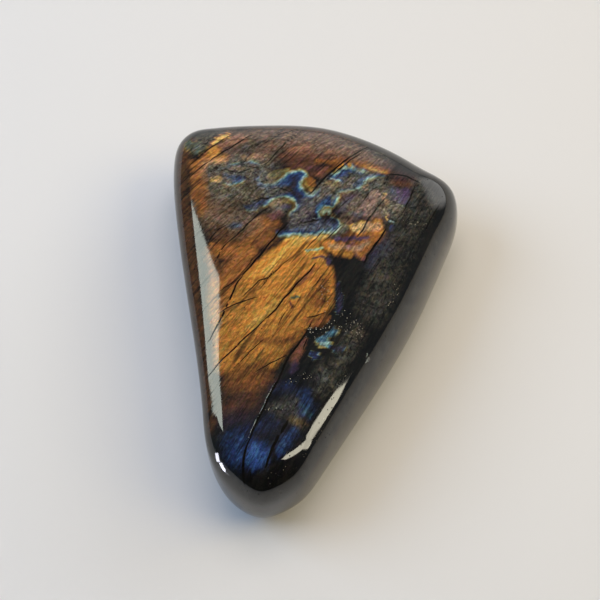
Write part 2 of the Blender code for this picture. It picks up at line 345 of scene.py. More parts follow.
    ("right bay light", AZURE, 0.7, 0.9, (0.1, 18.6, 0.2), (0.5, 19.8, 0.3), (2, 21.2, 0.2)),
    ("right bay green", GREEN, 0.6, 0.9, (3.6, 21, 0.2), (3.8, 22, 0.35)),
    ("cream curl", GREEN, 0.7, 1, (1.6, 18.6, 0.4), (2.6, 19, 0.4), (2.9, 18.2, 0.2)),
    ("cream curl notch", COPPER, 0.05, 0.6, (2.3, 18.2, 0.25)),
    ("hill", BLUE, 0.65, 1, (4.6, 27, 0.3), (5.6, 27.9, 0.7), (7, 28.6, 0.6), (8.8, 28.5, 0.4)),
    ("hill foot olive", YELLOW, 0.3, 1, (2.6, 25.6, 0.5), (4.4, 25.2, 0.4)),
    ("vein blue", BLUE, 0.6, 0.9, (8.4, 25, 0.3), (9.4, 26.1, 0.5), (11, 27.2, 0.4), (13, 27.8, 0.3),
     (15, 28.3, 0.1)),
    ("lower islet", YELLOW, 0.28, 1.2, (-9.4, 20.8, 0.5), (-7, 21.2, 0.5), (-5.8, 20.8, 0.3)),
    ("orange ridge", ORANGE, 0.7, 1.4, (2.6, 28.8, 0.2), (4.4, 30.3, 0.5), (7, 30.8, 0.6),
     (10.5, 30.4, 0.6)),
    ("orange ridge end", ORANGE, 0.66, 1.2, (10.5, 30.4, 0.6), (14, 29.8, 0.5), (17, 29, 0.2)),
    ("yellow ridge", YELLOW, 0.85, 0.9, (4.4, 29.6, 0.1), (6, 30.3, 0.25), (8.4, 30.2, 0.35),
     (10.6, 29.5, 0.3)),
    ("yellow ridge end", YELLOW, 0.8, 0.9, (10.6, 29.5, 0.3), (13, 29.3, 0.35), (16, 28.9, 0.15)),
    # the upper right
    ("vein gold", ORANGE, 0.6, 0.4, (10.6, 24.9, 0.2), (11.2, 25.3, 0.2)),
    ("black hook", INDIGO, 0, 0.4, (7.4, 28.2, 0.25), (8.4, 27.6, 0.4), (9.6, 27.4, 0.35),
     (10.4, 27.4, 0.15)),
    ("violet slip", PLUM, 0.9, 0.9, (6, 20.7, 0.3), (7, 21.5, 0.5), (7.9, 22.2, 0.4)),
    ("violet slip low", PLUM, 0.4, 0.8, (4.6, 18.6, 0.4), (6, 19.6, 0.4), (8.8, 18, 0.5)),
    ("olive slip right", LIME, 0.15, 0.8, (7.2, 18.6, 0.4), (8, 19.6, 0.4)),
    ("magenta bank", ROSE, 0.8, 1.1, (10.4, 19.2, 0.8), (11.4, 21, 1.1), (13, 22.8, 1.2)),
    ("magenta bank foot", ROSE, 0.5, 1.1, (12.6, 18.6, 0.8), (11, 17.6, 0.6)),
    ("magenta foot", PLUM, 0.45, 0.9, (9, 17.6, 0.4), (10, 19, 0.5)),
    ("pink dab", ROSE, 0.8, 0.5, (10.9, 24.1, 0.3)),
    ("violet field", PLUM, 0.85, 1.4, (16.8, 24.2, 1), (17.6, 22.6, 1.4), (18.8, 21.8, 1), (19.4, 24, 1)),
    ("violet field blue", BLUE, 0.35, 1, (16.4, 24.2, 0.6), (17.2, 22.8, 0.5)),
    ("brown above violet", COPPER, 0.35, 1.4, (17, 26.4, 0.7), (20.4, 25.8, 0.8)),
    ("orange spot", YELLOW, 1, 0.4, (15.1, 23, 0.3)),
    ("orange spot foot", ORANGE, 0.8, 0.7, (14.8, 22.2, 0.5), (15.4, 21.2, 0.5)),
    ("pale line", GREEN, 0.6, 0.3, (16.3, 20.4, 0.1), (17.8, 20.6, 0.1), (18.9, 20.3, 0.1)),
    ("green speck", GREEN, 0.4, 0.6, (14.8, 19.3, 0.3), (15.2, 18.3, 0.3)),
    ("white speck", LIME, 1, 0.4, (15, 17.5, 0.2), (15.2, 17, 0.25)),
    ("grey speck", CYAN, 0.5, 0.5, (15.9, 16.5, 0.3), (16.7, 16.2, 0.3)),
    ("blue speck", DEEP_BLUE, 0.6, 0.5, (16.3, 15.2, 0.25), (15.9, 14.2, 0.2)),
    ("peach", YELLOW, 1, 1, (7.8, 15.2, 0.7), (9.2, 14.8, 1.2), (10.2, 16, 0.8)),
    ("peach right", GOLD, 0.85, 1.2, (11.4, 15, 1.2), (12.8, 16, 1.2), (13.4, 14.6, 1)),
    ("peach foot", ORANGE, 0.7, 1, (9, 11, 0.6), (10.8, 12, 0.9), (12.4, 12.4, 0.7), (10.4, 9.6, 0.8)),
    ("rose below peach", ROSE, 0.5, 1, (8.8, 8.6, 0.4), (10, 7.7, 0.4)),
    ("violet strip", PLUM, 0.9, 1, (4.2, 12.2, 0.3), (6, 11.7, 0.4), (7.4, 12.2, 0.4), (9.4, 12.6, 0.3),
     (11.4, 12.8, 0.2)),
    ("green-grey block", GREEN, 0.1, 0.8, (5.4, 14, 0.7), (6.2, 15.2, 0.6)),
    ("pink strip", GOLD, 0.9, 1.4, (2.6, 10.2, 0.9), (4.6, 9.6, 1.4), (6.8, 9.2, 1.1)),
    ("pink strip foot", ORANGE, 0.9, 1.2, (6, 9.8, 0.6), (8.6, 9.8, 0.6), (9.6, 8.4, 0.5)),
    ("pink end", ROSE, 1, 0.6, (6.6, 10, 0.3), (7.9, 11.2, 0.3)),
    ("orange top right", GOLD, 1, 1, (1.6, 11.4, 0.7), (3.4, 11.4, 0.6)),
    # islands in the gold
    ("green islet", GREEN, 0.85, 0.6, (-2.4, 9.6, 0.3), (-1, 9.4, 0.5), (0.4, 9.6, 0.4), (1.4, 10, 0.2)),
    ("green islet foot", YELLOW, 1, 0.4, (-2.2, 8.7, 0.15), (-0.9, 8.4, 0.2), (0.2, 8.7, 0.15)),
    ("violet crack", PLUM, 0.5, 0.6, (-0.4, 7.2, 0.2), (0.9, 8, 0.25), (2.2, 7.9, 0.3), (3.1, 6.6, 0.4)),
    ("green dots", GREEN, 0.2, 0.5, (-5.3, -1.4, 0.3), (-4.2, -1.2, 0.4), (-3.4, -1.5, 0.2)),
    ("purple by dots", ROSE, 0.5, 0.8, (-5.4, -2.6, 0.3), (-4.8, -3.4, 0.3)),
    ("violet edge", INDIGO, 0.6, 0.9, (4.9, 1.2, 0.4), (5, -1, 0.5), (4.5, -4.2, 0.4)),
    ("indigo haze", INDIGO, 0.34, 2.6, (11.6, 6.4, 0.8), (12.6, 8.8, 1.2), (14.6, 10.6, 1),
     (15.4, 13, 0.4)),
    # below the gold
    ("red-brown strip", COPPER, 0.5, 1, (-2.4, -10.8, 0.6), (-3.5, -13, 0.9), (-4.6, -15.2, 0.8)),
    ("purple strip", PLUM, 0.4, 1, (-4.6, -15.8, 0.6), (-5.2, -17.8, 0.4)),
    ("violet spot", DEEP_BLUE, 0.75, 0.7, (-1.2, -13.8, 0.4), (-0.2, -14.1, 0.5), (-0.6, -15, 0.3)),
    ("teal patch", AZURE, 0.6, 0.7, (0.2, -11, 0.4), (1.6, -10.6, 0.6), (3, -9.6, 0.5), (3.8, -8.8, 0.4)),
    ("teal core", CYAN, 0.85, 0.5, (0.8, -11.6, 0.3), (1.9, -11.8, 0.35), (2.7, -11.2, 0.2)),
    ("teal rim", LIME, 0.6, 0.4, (-0.2, -11.4, 0.2), (0.8, -12.6, 0.25)),
    ("violet haze right", INDIGO, 0.5, 0.8, (3.6, -12.8, 0.3), (5.4, -12.6, 0.3)),
    ("indigo bank", DEEP_BLUE, 0.3, 2.4, (-8.4, -21.2, 0.8), (-6, -20.6, 0.8), (-4.5, -22, 0.8)),
    ("grey-blue bank", BLUE, 0.5, 2.6, (-2.4, -22.4, 0.8), (-2.6, -26, 1), (-1, -24.4, 0.6)),
    ("steel glint", AZURE, 0.3, 1.6, (-2.8, -24.6, 0.6), (-1.6, -26.4, 0.6)),
    ("beige bank", YELLOW, 0.2, 2, (-4.4, -27.8, 0.7), (-3, -27.6, 0.6)),
    ("blue-grey bank", BLUE, 0.5, 2.4, (-4.6, -29.8, 0.7), (-6.4, -31.8, 1.2), (-8.4, -34, 0.9)),
    ("blue-violet foot", BLUE, 0.45, 5, (-17.6, -31.8, 1), (-16, -31.6, 1.4), (-16.8, -34.6, 1.4)),
    ("navy foot", DEEP_BLUE, 0.28, 3, (-13, -29.6, 1.4), (-10.6, -29, 1.6), (-9.2, -28.4, 1.2)),
    ("blue foot", BLUE, 0.55, 3.2, (-15.6, -34.4, 1.2), (-12.6, -34.6, 2.6), (-10.8, -34.8, 1.8)),
    ("bright blue", BLUE, 0.95, 2, (-13, -33, 0.6), (-11.8, -34.6, 0.9), (-12.6, -36.2, 0.9),
     (-10.6, -35.4, 0.6)),
    ("dark notch at the foot", INDIGO, 0, 1, (-8.6, -36.4, 0.4), (-9.2, -33.6, 0.4), (-8.2, -31.6, 0.3)),
)

# The shores: lines where the flash runs from blue through white to gold, with the blue on the left of
# each path. A path's points are (x, y, how strong the shore is there).
Shore = namedtuple("Shore", "name width path")
SHORES = rows_of(
    Shore,
    ("arch", 0.8, (-11.6, 29.8, 0), (-12.8, 31, 0.5), (-14.2, 31.5, 0.6), (-16, 31.3, 0.5),
     (-18, 30.9, 0.4), (-20, 30, 0)),
    ("small bay", 0.9, (-20.4, 26.8, 0), (-19, 25.9, 0.6), (-17.6, 25.6, 0.8), (-16.2, 26.1, 0.7),
     (-14.8, 27, 0)),
    ("ribbon", 0.85, (-15.6, 19.2, 0), (-13.4, 19.4, 0.6), (-11.8, 20, 0.7), (-10.4, 20.8, 0.8),
     (-9.8, 21.6, 0.9), (-8.6, 22.1, 0.8), (-6.6, 22.4, 0.7), (-5.2, 21.8, 0.8), (-4.4, 20.8, 0.9),
     (-4.5, 19.6, 0.8), (-5.2, 18.4, 0.5), (-6, 17.4, 0)),
    ("upper bay", 1.1, (1, 25, 0), (-0.5, 23.2, 0.6), (-1.6, 22.7, 0.8), (-2.8, 23.6, 1), (-3.5, 25, 1),
     (-3, 26.4, 0.9), (-2.2, 27.5, 0.7), (-2.8, 28.5, 0.9), (-4.2, 28.8, 1), (-5.8, 28, 1),
     (-7.4, 26.8, 0.9), (-8.6, 25.9, 0.7), (-9.8, 25.5, 0.6), (-11.2, 25.9, 0.6), (-12.1, 27, 0.5),
     (-11.9, 28.8, 0)),
    ("lower bay", 1.15, (-9, 12.8, 0), (-6.4, 13, 0.7), (-3, 13.1, 0.95), (0, 13.2, 1), (2, 13.5, 1),
     (4, 13.9, 1), (5.1, 14.8, 0.9), (4.9, 16, 0.6), (4.2, 17, 0.45), (3, 17.4, 0)),
    ("curl", 0.9, (1.5, 17.2, 0), (0.7, 18.1, 0.7), (1, 19.3, 0.8), (2.2, 20.1, 0.5), (3.6, 20, 0.5),
     (4.4, 20.9, 0.8), (4.7, 22, 0.9), (4.5, 23, 0.4), (5.5, 23.5, 0.3), (7.5, 23.8, 0.35), (9, 24.3, 0.6),
     (10.2, 25.5, 0.8), (11.4, 26.6, 0.7), (13, 27.3, 0.5), (15.4, 28, 0)),
    ("hill", 0.9, (11.4, 27.8, 0), (9.4, 29, 0.7), (7.6, 29.6, 1), (6, 29.4, 1), (4.8, 28.7, 0.8),
     (3.9, 27.6, 0.6), (3.2, 26.6, 0)),
    ("hill foot", 0.6, (2.2, 26.4, 0), (3.6, 26.8, 0.9), (4.6, 26.4, 1), (5.3, 25.7, 0.7), (5.6, 25, 0)),
)
# Across a shore: how far towards its blue side, in widths, and the hue and the glow there.
ACROSS_SHORE = (-0.9, -0.6, -0.4, -0.24, -0.08, 0.1, 0.35, 0.7, 1.2, 2.0)
SHORE_HUE = (GOLD, YELLOW, LIME, GREEN, GREEN, CYAN, AZURE, BLUE, DEEP_BLUE, INDIGO)
SHORE_GLOW = (0.4, 0.5, 0.6, 0.75, 0.9, 0.9, 0.75, 0.55, 0.36, 0.2)
SHORE_COVER = (0, 0.35, 0.8, 1, 1, 1, 1, 0.9, 0.6, 0)
SHORE_ROUNDING = 6  # how many straight pieces a shore is cut into between its points

# Where the dark stone itself is paler, grey and olive: how strongly, how soft the edge is, and the path.
Patch = namedtuple("Patch", "name strength soft path")
HAZE = rows_of(
    Patch,
    ("upper left", 1, 6, (-22, 30, 3), (-12, 31, 3)),
    ("olive middle", 0.72, 6, (-20, 25, 4), (-14, 22, 2)),
    ("between the bays", 1, 4, (-12, 27, 2), (-9, 23, 2), (-8, 20, 1.6)),
    ("brown middle", 0.6, 6, (-22, 18, 3), (-14, 16, 3)),
    ("upper band", 0.6, 5, (-26, 37, 2), (-10, 37, 3), (6, 35, 3), (14, 32, 2)),
    ("right of centre", 1, 5, (4, 25, 2), (12, 26, 3.2), (16, 21, 3.5), (8, 20, 2.5)),
    ("right corner", 0.28, 3, (22, 26, 2), (25, 22, 2), (23, 18, 1.5)),
    ("right side", 0.36, 5, (19, 14, 3), (15, 6, 3), (12, -3, 3)),
    ("bay shore", 0.8, 2, (-5, 14.6, 0.8), (0, 15.4, 1.4), (5.5, 14, 1), (6, 16, 0.8)),
    ("lower right", 0.45, 3, (4.5, -16, 1.2), (8, -9, 2)),
    ("below the pits", 0.6, 3, (3, -20, 1.2), (1.6, -17.4, 1.2), (0.6, -21.4, 1)),
    ("lower middle", 0.55, 3, (-8, -25.5, 1.2), (-5, -24, 1), (-3.6, -28, 1)),
    ("black corner", 0.15, 3, (20, 12, 1.5), (16, 6, 1)),
    ("peach", 1, 1.6, (8.6, 15, 1.2), (13, 15.4, 1)),
    ("pink strip", 0.8, 1.6, (3.4, 10.4, 0.8), (8.4, 9.8, 0.8), (11, 11.6, 0.8)),
    ("yellow shore", 0.6, 1.6, (-6, 12, 0.4), (0, 12.4, 0.6), (4, 12.6, 0.4)),
    ("right of violet", 0.34, 2, (22, 24, 1), (20.8, 18, 1.2), (21, 15, 0.8)),
    ("pool", 0.8, 2, (-4.6, 16.6, 1.2), (-2, 20, 2), (2, 24.4, 1.6), (6, 26.4, 1)),
)

# Where the stone is pitted and mottled, which also sets where the pale specks with painted glints lie.
PITTED = rows_of(
    Patch,
    ("pits at the gold's foot", 1, 1.2, (-3.4, -8.8, 0.8), (-0.5, -9.2, 1.3), (1.8, -8.4, 1.2),
     (4, -6.6, 0.6)),
    ("mottled gold", 0.55, 2, (2, 3, 1), (1.8, -1, 1.2), (1.2, -5, 1.2)),
    ("pits at the right edge", 1, 1.2, (16.9, 2, 0.8), (16.4, -0.4, 1), (15.6, -2, 0.8)),
    ("sparkles", 0.9, 2, (5.5, -4.6, 0.8), (7.5, -6.5, 1.5), (9, -8.8, 1.2), (5, -8.5, 1)),
    ("sparkles below", 0.9, 1.2, (-1.8, -17.4, 0.6), (-3, -19, 0.9), (-6, -19.6, 0.6), (1, -19, 0.4)),
    ("sparkles at the foot", 1, 0.8, (-9.4, -25.8, 0.6), (-7.8, -25.4, 0.6)),
    ("right corner", 0.7, 1.2, (24.6, 17, 0.8), (18.6, 16.4, 0.5)),
    ("chip", 1, 0.7, (10.7, -12.8, 0.5), (10.6, -13.8, 0.5)),
    ("specks along the foot", 0.5, 1.6, (6, -17, 0.8), (1, -29, 0.6), (-3, -36, 0.8), (-10, -39.6, 0.8)),
)

# The dark veins that cross the face: how wide each is at its middle, in millimetres, and its path.
Crack = namedtuple("Crack", "name width path")
CRACKS = rows_of(
    Crack,
    ("upper left one", 0.3, (-19, 38.3), (-22, 36.1), (-24, 34.7), (-26, 32.8), (-28, 31)),
    ("upper left two", 0.34, (-13.7, 38.5), (-16, 37), (-18.3, 35.3), (-20, 34.2), (-22, 32.8),
     (-23.5, 31.6)),
    ("upper left two end", 0.28, (-23.5, 31.6), (-25.5, 30.2), (-27.6, 28.3)),
    ("upper middle one", 0.34, (-2.5, 39.8), (-4.5, 37.8), (-6.5, 36), (-7.5, 34.7), (-9, 33), (-10.5, 31),
     (-11.5, 30)),
    ("upper middle two", 0.26, (-4, 40), (-8, 38.3), (-10, 36.7), (-11.3, 35.8)),
    ("double one", 0.4, (11.6, 36), (8.5, 33.2), (5.5, 30.5), (3.2, 28.2), (1.5, 26.4), (0, 24.5),
     (-1.5, 22.6)),
    ("black line", 0.42, (15.8, 28.3), (18, 28.4), (20, 28), (21.5, 27.2), (22.8, 26.6)),
    ("magenta one", 0.26, (11.5, 23.5), (10, 20.9)),
    ("right strong", 0.4, (15, 22.3), (13.3, 20), (12, 18), (11, 16.4), (10, 14.2), (8.8, 12.8)),
    ("right bold", 0.44, (15, 15), (14, 13), (12.5, 10.8), (11, 8.5), (10, 6.5)),
    ("middle left one", 0.34, (-10, 20), (-12.5, 18), (-14.2, 16.3), (-15.6, 14.6), (-17, 13.2),
     (-19, 11.5)),
    ("middle left one end", 0.3, (-19, 11.5), (-20.3, 9.8), (-21.6, 6.8)),
    ("middle left two", 0.28, (-19, 16), (-21.2, 14.6), (-22.2, 13.4), (-23.3, 11.4)),
    ("long bold", 0.44, (-6, 16), (-7.5, 14.3), (-9, 12.2), (-10.8, 10), (-12, 8.2), (-14, 5.8),
     (-15.5, 3.8)),
    ("long bold end", 0.4, (-15.5, 3.8), (-16.8, 2), (-17.8, -0.6), (-19, -3.6), (-20, -5.8),
     (-22.4, -10.4)),
    ("gold one", 0.26, (-5, 8), (-6.5, 6.8), (-8, 5.2), (-9.7, 3.5), (-12, 2.6), (-13.5, 1), (-15.5, -1)),
    ("gold two", 0.2, (-9, 5), (-10.5, 2.5), (-12, 0.5)),
    ("gold bold", 0.42, (0, 6.5), (-2, 4), (-4, 1.8), (-5.2, 0.3), (-7, -1.8), (-8.5, -4), (-10.5, -6)),
    ("gold bold end", 0.34, (-10.5, -6), (-12.5, -8), (-14.5, -9.7), (-17, -12.3), (-20, -15),
     (-22.4, -17.8)),
    ("gold three", 0.18, (1.5, 4), (0, 1.8), (-1, 0.5)),
    ("gold four", 0.2, (-11, -10.5), (-13, -12.5), (-17, -16.5)),
    ("gold five", 0.22, (-6, -14), (-10, -16), (-12.5, -17.5)),
    ("gold six", 0.18, (-6.5, -4.5), (-8, -7.5)),
    ("gold foot", 0.24, (-2.5, -5.8), (0, -5.5), (2, -4.6)),
    ("right boundary", 0.46, (-1, -7), (-2.5, -9.8), (-4, -12), (-5.5, -14), (-6.5, -16), (-8, -19.5),
     (-9, -21.5)),
    ("red-brown one", 0.22, (-2, -10.5), (-2.8, -13)),
    ("foot line", 0.5, (-8.2, -19.6), (-9.4, -22), (-11.4, -26.4), (-12.8, -29.4), (-13.8, -32)),
    ("foot line end", 0.5, (-13.8, -32), (-14.8, -35), (-15, -38), (-14.6, -40)),
    ("foot hatch", 0.6, (-4, -24), (-5.2, -27), (-7.6, -30.6), (-9.2, -34), (-10.4, -37.4)),
)
# Veins beside others. A place keeps the measures of its nearest vein alone, so these are apart.
SIDE_CRACKS = rows_of(
    Crack,
    ("bay brow", 0.34, (-3.6, 15.8), (-1.6, 16.2), (0.8, 16.8)),
    ("ribbon brow", 0.3, (-13.4, 21.6), (-11.6, 22.2), (-10.4, 21.8), (-9.4, 22.6)),
    ("arch brow", 0.34, (-20, 29.8), (-18.4, 28.9), (-16.6, 28.7), (-15, 29.2), (-13.6, 29.8),
     (-12.2, 29.7)),
    ("upper bay foot", 0.3, (-9.6, 24.2), (-8, 24.4), (-6.6, 24), (-5.6, 23.6)),
    ("double two", 0.26, (10.4, 34.2), (8.4, 32.2), (6.2, 30.2), (4.2, 28.2), (2.6, 26.6)),
    ("beside the long bold one", 0.14, (-9.4, 12.6), (-11.6, 9.8), (-14.6, 5.9), (-16.6, 3.4)),
    ("red-brown arc", 0.28, (-20.4, -4.4), (-18.6, -3.4), (-16.5, -2.4), (-14.6, -1.7), (-12.4, -1.1)),
    ("bay hatch one", 0.22, (2, 14.6), (0, 12.2), (-2, 10)),
    ("bay hatch two", 0.2, (6, 16), (3.4, 13.4), (1, 11)),
    ("violet hatch", 0.2, (8.2, 22.6), (5.8, 20.4), (4.4, 19)),
    ("copper branch", 0.24, (-16.4, 3.2), (-18.4, 1.8), (-20.4, 0.4)),
    ("foot fork", 0.24, (-13.6, -37), (-13.2, -40)),
    ("corner hatch", 0.3, (21.8, 26), (20.4, 22.6), (18.6, 18.6)),
    ("corner line", 0.24, (27, 22), (25, 18.6), (23.6, 15.6)),
)
# Pale lines, along the edge of a vein or a shore.
PALE_LINES = rows_of(
    Crack,
    ("pale foot line", 0.14, (-8.6, -19.9), (-9.8, -22.2), (-11.8, -26.6), (-13.2, -29.6), (-14.1, -31.6)),
    ("chip", 0.8, (10.6, -12.6), (10.9, -13.4), (10.5, -14.1)),
    ("bay brow light", 0.26, (-2.8, 16.5), (-1, 16.8), (0.8, 17.3)),
    ("ribbon light", 0.3, (-10.4, 21.3), (-9.4, 21.9), (-8.2, 22.2)),
    ("ribbon end light", 0.26, (-4.1, 20.9), (-4.2, 19.9), (-4.9, 18.7)),
    ("hill foot light", 0.24, (3, 26.9), (4.2, 26.7), (5.1, 26)),
)
CRACK_REACH = 0.5  # how far from a vein's middle its measure is kept
FAR_SIDE = 9.0  # what a place's side is until a vein is found for it
FAR_GAP = 2  # the largest gap that is kept
VEIN_END = 0.3  # how much of a vein's width is left at its ends

# The marks' edges are ragged: how large the waves in them are, and how far they go.
WARPS = ((2.6, 0.5), (1.0, 0.36), (0.45, 0.16))
LINE_WARPS = ((1.7, 0.16),)
WARP_SHIFT = Vector((7.3, 3.1, 5.0))  # so that the waves across and along are not alike

# The shores come and go in waves: how large those are, how strong a shore is in them, and its width.
SHORE_WAVE, SHORE_WAVE_DEPTH = 1.6, 9
SHORE_STRENGTH, SHORE_SWING = 0.8, 1.3
SHORE_LEAST, SHORE_MOST = 0.15, 1.4
THIN_SHORE, SHORE_SPREAD = 0.6, 0.5

FLASH_FULL_TILT = math.radians(38)  # the flash is whole up to this tilt of the skin and gone by the next
FLASH_GONE_TILT = math.radians(62)
FLASH_LAST_TILT = math.radians(115)  # on the left wall a brown gleam goes on down to this tilt
LIT_WALL = Patch("left wall", 0.24, 8, ((-31, 36, 2.5), (-29, 10, 3), (-26, -14, 2.5), (-24, -26, 0.5)))


def warped(places, warps):
    """The places, moved about by smooth noise so that the marks get ragged edges."""
    moved = places.copy()
    for size, reach in warps:
        for i, (x, y) in enumerate(places):
            spot = Vector((x / size, y / size, size))
            moved[i, 0] += reach * noise.noise(spot)
            moved[i, 1] += reach * noise.noise(spot + WARP_SHIFT)
    return moved


def measures(places, start, end):
    """Against a straight piece: how far along it each place is, as a share, how far off and on which side."""
    run = np.subtract(end, start)
    from_start = places - start
    along = np.clip(from_start @ run / max(run @ run, 1e-9), 0, 1)
    gap = np.linalg.norm(from_start - along[:, None] * run, axis=1)
    return along, gap, np.sign(run[0] * from_start[:, 1] - run[1] * from_start[:, 0])


def mark_cover(mark, places):
    """How far each place lies inside the mark, from 0 outside to 1 well within."""
    nearest = np.full(len(places), np.inf)
    path = mark.path if len(mark.path) > 1 else mark.path * 2
    for (x0, y0, r0), (x1, y1, r1) in zip(path, path[1:]):
        along, gap, _ = measures(places, (x0, y0), (x1, y1))
        nearest = np.minimum(nearest, gap - (r0 + along * (r1 - r0)))
    inside = np.clip(0.5 - nearest / mark.soft, 0, 1)
    return inside * inside * (3 - 2 * inside)


def lay(layer, hue, glow, cover):
    """Lays a hue and its glow over a layer. A hue counts as far as it glows."""
    old, new = layer.glow * (1 - cover), glow * cover
    layer.hue[:] = (layer.hue * old + hue * new + 1e-6 * hue) / (old + new + 1e-6)
    layer.glow[:] = old + new


def rounded(path):
    """The path's points and further ones between them, on a smooth curve."""
    knots = np.array(path, dtype=float)
    before = np.vstack([2 * knots[0] - knots[1], knots[:-1]])
    after = np.vstack([knots[1:], 2 * knots[-1] - knots[-2]])
    slope = (after - before) / 2
    places = []
    for a, b, slope_a, slope_b in zip(knots, knots[1:], slope, slope[1:]):
        for t in np.arange(SHORE_ROUNDING) / SHORE_ROUNDING:
            places.append(
                (2 * t**3 - 3 * t**2 + 1) * a + (t**3 - 2 * t**2 + t) * slope_a
                + (3 * t**2 - 2 * t**3) * b + (t**3 - t**2) * slope_b
            )
    return np.array(places + [knots[-1]])


def paint_shore(shore, places, uneven, warm, cool):
    """Lays one shore over the flash."""
    path = rounded(shore.path)
    nearest = np.full(len(places), np.inf)
    side, strength = np.zeros((2, len(places)))
    for start, end in zip(path, path[1:]):
        along, gap, turned = measures(places, start[:2], end[:2])
        nearer = gap < nearest
        nearest[nearer] = gap[nearer]
        side[nearer] = turned[nearer]
        strength[nearer] = (start[2] + along * (end[2] - start[2]))[nearer]
    across = side * nearest / (shore.width * (THIN_SHORE + SHORE_SPREAD * uneven))
    cover = np.clip(strength * uneven, 0, 1) * np.interp(across, ACROSS_SHORE, SHORE_COVER, 0, 0)
    lay(cool, np.interp(across, ACROSS_SHORE, SHORE_HUE), np.interp(across, ACROSS_SHORE, SHORE_GLOW), cover)
    warm.glow[:] *= 1 - cover


def write_attribute(mesh, name, kind, values, columns):
    """Writes the columns over the skin's points, under one name."""
    attribute = mesh.attributes.new(name, kind, "POINT")
    attribute.data.foreach_set(values, np.column_stack(columns).ravel())


def paint_flash(mesh, points, tilts):
    """Writes the flash over the skin, its warm and its cool layer, and the stone's haze and pits."""
    places = warped(points[:, :2], WARPS)
    warm, cool = (Layer(np.full(len(points), h), np.zeros(len(points))) for h in (COPPER, INDIGO))
    for mark in MARKS:
        cover = mark_cover(mark, places)
        over, under = (cool, warm) if mark.hue < COOL_LIMIT else (warm, cool)
        lay(over, mark.hue, mark.glow, cover)
        under.glow[:] *= 1 - cover
    waves = [noise.noise((x / SHORE_WAVE, y / SHORE_WAVE, SHORE_WAVE_DEPTH)) for x, y in places]
    uneven = np.clip(SHORE_STRENGTH + SHORE_SWING * np.array(waves), SHORE_LEAST, SHORE_MOST)
    for shore in SHORES:
        paint_shore(shore, places, uneven, warm, cool)
    haze, pitted = np.zeros((2, len(points)))
    for mark in HAZE:
        haze += mark_cover(mark, places) * (mark.strength - haze)
    for mark in PITTED:
        pitted = np.maximum(pitted, mark.strength * mark_cover(mark, places))
    shown = np.clip((FLASH_GONE_TILT - tilts) / (FLASH_GONE_TILT - FLASH_FULL_TILT), 0, 1)
    lit_wall = LIT_WALL.strength * mark_cover(LIT_WALL, places) * (tilts < FLASH_LAST_TILT)
    shown = np.maximum(shown, lit_wall)
    flash = (warm.hue, warm.glow * shown, cool.hue, cool.glow * shown)
    write_attribute(mesh, "flash", "FLOAT_COLOR", "color", flash)
    write_attribute(mesh, "ground", "FLOAT_VECTOR", "vector", (haze * shown, pitted * shown, shown))


def line_measures(lines, places):
    """For each place, which side of the nearest line it is on, in half widths, and how far off it is."""
    side = np.full(len(places), FAR_SIDE)
    nearest = np.full(len(places), np.inf)
    for line in lines:
        path = np.array(line.path, dtype=float)
        runs = np.linalg.norm(np.diff(path, axis=0), axis=1)
        reached = np.concatenate([[0], np.cumsum(runs)])
        for start, end, before, run in zip(path, path[1:], reached, runs):
            along, gap, turned = measures(places, start, end)
            share = (before + along * run) / reached[-1]
            swell = np.sqrt(np.clip(4 * share * (1 - share), 0, 1))
            half_width = line.width * (VEIN_END + (1 - VEIN_END) * swell) / 2
            nearer = gap < nearest
            nearest[nearer] = gap[nearer]
            side[nearer] = (turned * gap / half_width)[nearer]
    return side, np.minimum(nearest, FAR_GAP)


def paint_lines(mesh, points):
    """Writes where the dark veins and the pale lines run, as one attribute each."""
    places = warped(points[:, :2], LINE_WARPS)
    for name, lines in (("veins", CRACKS), ("side_veins", SIDE_CRACKS), ("pale_lines", PALE_LINES)):
        side, gap = line_measures(lines, places)
        write_attribute(mesh, name, "FLOAT_VECTOR", "vector", (side, gap, gap))


def link(obj):
    bpy.context.scene.collection.objects.link(obj)
    return obj


def make_stone():
    points, faces = stone_mesh()
    points *= DRAWN_IN
    mesh = bpy.data.meshes.new("labradorite_stone")
    mesh.from_pydata((points * MM).tolist(), [], faces)
    mesh.shade_smooth()
    tilts = np.array([math.acos(min(1, max(-1, v.normal.z))) for v in mesh.vertices])
    paint_flash(mesh, points, tilts)
    paint_lines(mesh, points)
    return link(bpy.data.objects.new("labradorite_stone", mesh))


# ---------------------------------------------------------------- the polished stone's material

# The colours that the flash runs through, in order (linear light).
FLASH_COLOURS = [
    (PLUM, (0.090, 0.055, 0.130)),
    (INDIGO, (0.044, 0.042, 0.095)),
    (DEEP_BLUE, (0.034, 0.048, 0.15)),
    (BLUE, (0.034, 0.082, 0.28)),
    (AZURE, (0.100, 0.27, 0.45)),
    (CYAN, (0.38, 0.62, 0.62)),
    (GREEN, (0.44, 0.54, 0.38)),
    (LIME, (0.52, 0.47, 0.19)),
    (YELLOW, (0.72, 0.46, 0.10)),
    (GOLD, (0.54, 0.225, 0.038)),
    (ORANGE, (0.36, 0.135, 0.032)),
    (COPPER, (0.25, 0.100, 0.052)),
    (ROSE, (0.24, 0.090, 0.095)),
    (VIOLET, (0.110, 0.066, 0.155)),
]

